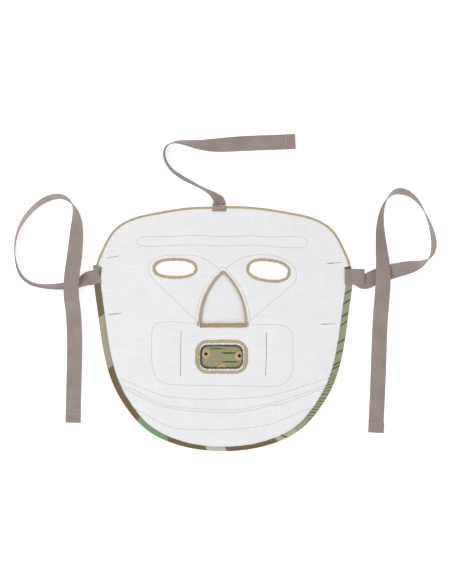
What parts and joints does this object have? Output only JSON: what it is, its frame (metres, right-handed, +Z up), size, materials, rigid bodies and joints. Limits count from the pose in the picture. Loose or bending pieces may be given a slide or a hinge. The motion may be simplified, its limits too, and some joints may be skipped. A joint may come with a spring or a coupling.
{
  "type": "cold-weather face mask",
  "caption": "Flat camouflage cloth face mask with white lining, sewn eye holes, nose cover, mouth flap with eyelets and tie tapes.",
  "frame": {"origin": "middle of the mask's outline, on the surface that it lies on, outer cloth down", "axes": "+X to the mask's side on the right when the lining faces up, +Y towards the forehead, +Z up out of the lining"},
  "size_m": [0.4392, 0.3305, 0.0162],
  "materials": {
    "lining_cloth": "brushed white lining",
    "camouflage_cloth": "plain-weave cloth printed in tan-olive, brown and greens",
    "interlining": "undyed interlining",
    "edging_thread": "tan satin-stitched thread",
    "seam_thread": "pale tan sewing thread",
    "strap_tape": "taupe twill tape",
    "stay_metal": "soft bendable strip"
  },
  "bodies": {
    "mask_panel": {"lining": "lining_cloth", "face_shell": "camouflage_cloth", "chin_shell": "camouflage_cloth", "edge_binding": "camouflage_cloth", "eye_patch_left": "camouflage_cloth", "eye_patch_right": "camouflage_cloth", "mouth_patch": "camouflage_cloth", "chin_band": "interlining", "forehead_stay": "stay_metal", "top_edge_overcast": "edging_thread", "eye_edging_left": "edging_thread", "eye_edging_right": "edging_thread", "nose_edging": "edging_thread", "mouth_edging": "edging_thread", "nose_corner_tacks": "edging_thread", "keeper_bar_tacks": "seam_thread", "forehead_channel_stitching": "seam_thread", "eye_patch_stitching": "seam_thread", "nose_cover_stitching": "seam_thread", "mouth_patch_stitching": "seam_thread", "mouth_flap_seams": "seam_thread", "chin_seam_stitching": "seam_thread", "chin_band_stitching": "seam_thread", "strap_tab_stitching": "seam_thread", "binding_stitching": "seam_thread", "goggle_keeper_left": "strap_tape", "goggle_keeper_right": "strap_tape", "keeper_end_folds": "strap_tape", "strap_tab_left": "strap_tape", "strap_tab_right": "strap_tape", "strap_tab_top": "strap_tape"},
    "nose_cover": {"nose_cover_shell": "camouflage_cloth", "nose_cover_lining": "lining_cloth"},
    "mouth_flap": {"mouth_flap_outer_ply": "camouflage_cloth", "mouth_flap_inner_ply": "camouflage_cloth", "mouth_flap_eyelets": "edging_thread"},
    "left_strap": {"strap_left": "strap_tape", "strap_hem_stitching_left": "seam_thread"},
    "right_strap": {"strap_right": "strap_tape", "strap_hem_stitching_right": "seam_thread"},
    "top_strap": {"strap_top": "strap_tape", "strap_hem_stitching_top": "seam_thread"}
  },
  "joints": [
    {"name": "nose_cover_lift", "type": "hinge", "parent": "mask_panel", "child": "nose_cover", "pos_m": [-0.0004, 0.0683, 0.0014], "axis": [1, 0, 0], "range_deg": [0, 12]},
    {"name": "mouth_flap_bow", "type": "slide", "parent": "mask_panel", "child": "mouth_flap", "axis": [0, 0, -1], "range_m": [0, 0.008]},
    {"name": "left_strap_fold", "type": "hinge", "parent": "mask_panel", "child": "left_strap", "pos_m": [-0.1349, 0.0536, 0.006], "axis": [0, 1, 0], "range_deg": [0, 120]},
    {"name": "right_strap_fold", "type": "hinge", "parent": "mask_panel", "child": "right_strap", "pos_m": [0.1349, 0.0542, 0.006], "axis": [0, -1, 0], "range_deg": [0, 120]},
    {"name": "top_strap_fold", "type": "hinge", "parent": "mask_panel", "child": "top_strap", "pos_m": [-0.0042, 0.128, 0.0059], "axis": [1, 0, 0], "range_deg": [0, 120]}
  ]
}
